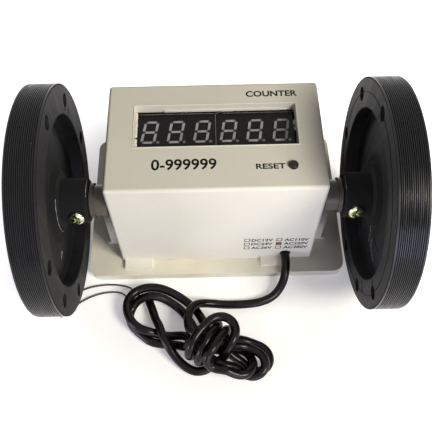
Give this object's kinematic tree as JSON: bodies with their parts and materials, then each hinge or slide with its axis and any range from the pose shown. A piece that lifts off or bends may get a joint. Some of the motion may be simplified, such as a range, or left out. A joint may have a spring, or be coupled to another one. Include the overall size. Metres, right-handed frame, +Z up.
{
  "type": "length counter",
  "caption": "Electronic length counter: a display box on a cast bracket with a through shaft and a ridged measuring wheel on each side, supply cord in a loose hank.",
  "frame": {"origin": "on the bracket's underside, straight below the shaft, halfway between the wheels", "axes": "+X along the shaft to the reader's right, +Y to the back, +Z up out of the display"},
  "size_m": [0.1628, 0.1442, 0.107],
  "materials": {
    "bracket_paint": "cast metal, satin light grey-beige paint",
    "box_plastic": "moulded plastic, satin warm cream",
    "display_black": "black display face, satin",
    "bar_grey": "unlit milky grey light guides",
    "board_green": "green glass-epoxy board",
    "button_black": "black moulded button",
    "part_black": "black moulded component",
    "winding": "varnished copper winding",
    "capacitor_blue": "blue sleeve",
    "steel": "bright ground steel",
    "wheel_black": "black moulded nylon, satin gloss",
    "yellow_zinc": "yellow passivated zinc on steel",
    "cord_pvc": "black soft PVC sheath",
    "wire_grey": "dark grey insulated wire"
  },
  "bodies": {
    "frame": {"base_frame": "bracket_paint", "housing": "box_plastic", "cover_screws": "steel", "display_left": "display_black", "display_right": "display_black", "digit_bars": "bar_grey", "display_board": "board_green", "display_board_screws": "steel", "reset_switch": "part_black", "main_board": "board_green", "main_board_screws": "steel", "transformer_core": "steel", "transformer_winding": "winding", "capacitors": "capacitor_blue", "controller_chip": "part_black", "terminal_block": "board_green", "ribbon_cable": "bar_grey", "hall_sensor": "part_black", "cord_gland": "cord_pvc", "bearing_left": "steel", "bearing_right": "steel", "power_cord": "cord_pvc", "cord_hank": "cord_pvc", "wire_long": "wire_grey", "wire_short": "wire_grey"},
    "rotor": {"shaft": "steel", "race_left": "steel", "race_right": "steel", "magnet_ring": "part_black", "retaining_rings": "steel", "hub_washers": "steel", "wheel_left": "wheel_black", "wheel_right": "wheel_black", "hub_screws": "yellow_zinc"},
    "button": {"reset_button": "button_black", "switch_plunger": "button_black"}
  },
  "joints": [
    {"name": "wheel_spin", "type": "hinge", "parent": "frame", "child": "rotor", "pos_m": [0, 0, 0.054], "axis": [1, 0, 0], "continuous": true},
    {"name": "button_press", "type": "slide", "parent": "frame", "child": "button", "axis": [0, 0, -1], "range_m": [0, 0.0007], "stiffness_N_per_m": 400}
  ]
}
